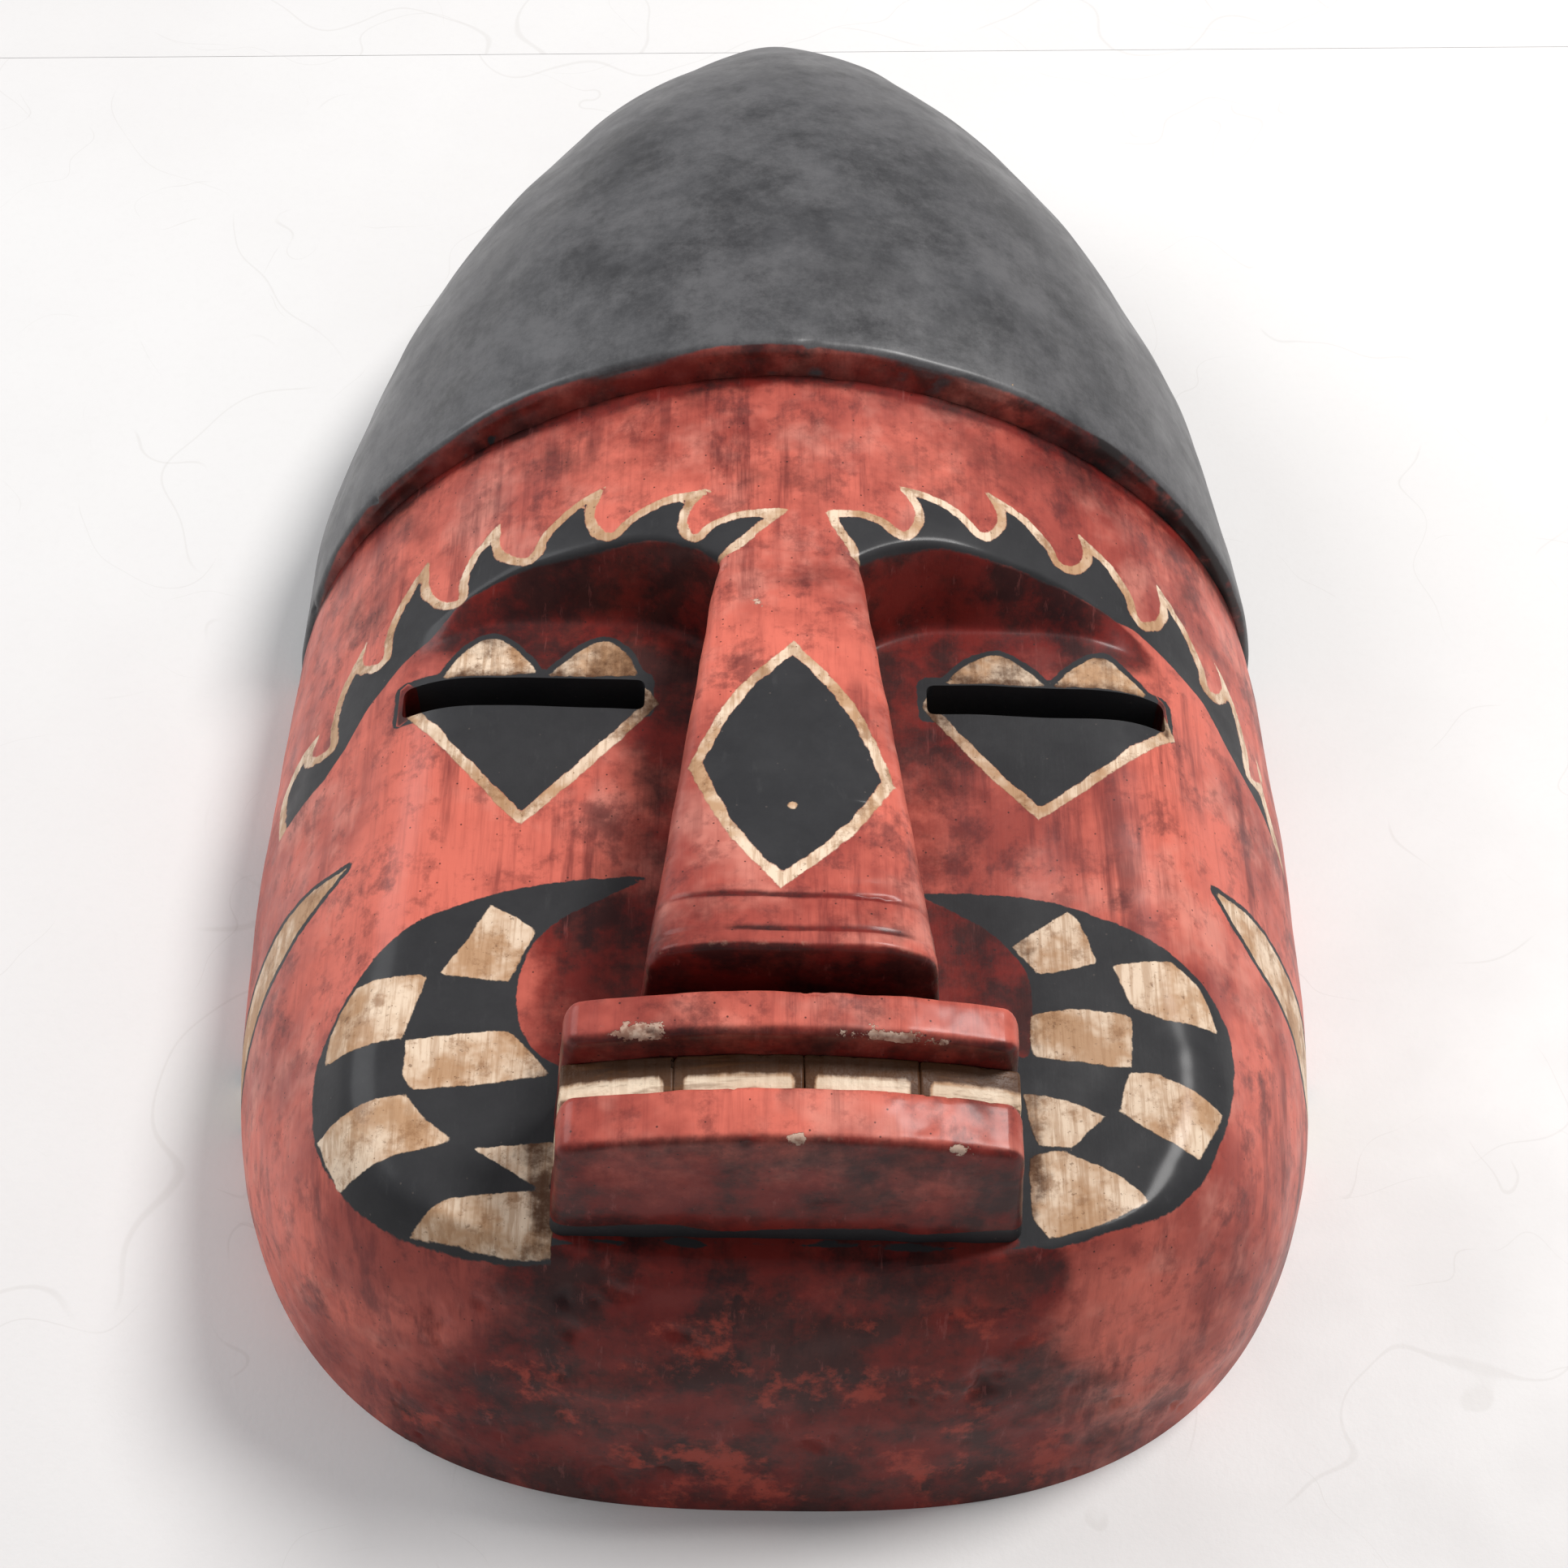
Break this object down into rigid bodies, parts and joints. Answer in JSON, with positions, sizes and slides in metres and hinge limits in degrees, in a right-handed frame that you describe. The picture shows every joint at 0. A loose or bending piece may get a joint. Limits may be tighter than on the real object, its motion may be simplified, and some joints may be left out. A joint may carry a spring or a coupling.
{
  "type": "carved wooden mask",
  "caption": "Hollow carved wooden wall mask: painted face with slotted eyes, raised nose and mouth blocks, domed cap and a swinging hanging ring at the back.",
  "frame": {"origin": "middle of the flat back, on the surface that the mask lies on", "axes": "+Z out of the face, +Y from the chin to the tip of the cap, +X to the right of the picture"},
  "size_m": [0.203, 0.342, 0.1015],
  "materials": {
    "red_paint": "satin paint on wood, waxed and antiqued",
    "black_paint": "satin paint on wood",
    "cream_paint": "satin paint on wood, antiqued brown",
    "bare_wood": "bare",
    "steel": "zinc plated"
  },
  "bodies": {
    "mask": {"face_shell": "red_paint", "crown": "black_paint", "nose": "red_paint", "upper_lip": "red_paint", "lower_lip": "red_paint", "tooth_1": "cream_paint", "tooth_2": "cream_paint", "tooth_3": "cream_paint", "tooth_4": "cream_paint", "crown_pegs": "bare_wood", "nose_pegs": "bare_wood", "lip_pegs": "bare_wood", "hanger_plate": "steel", "hanger_screws": "steel"},
    "hanger_ring": {"hanger_ring": "steel"}
  },
  "joints": [
    {"name": "ring_swing", "type": "hinge", "parent": "mask", "child": "hanger_ring", "pos_m": [0, 0.13702, 0.02185], "axis": [1, 0, 0], "range_deg": [-60, 85]}
  ]
}
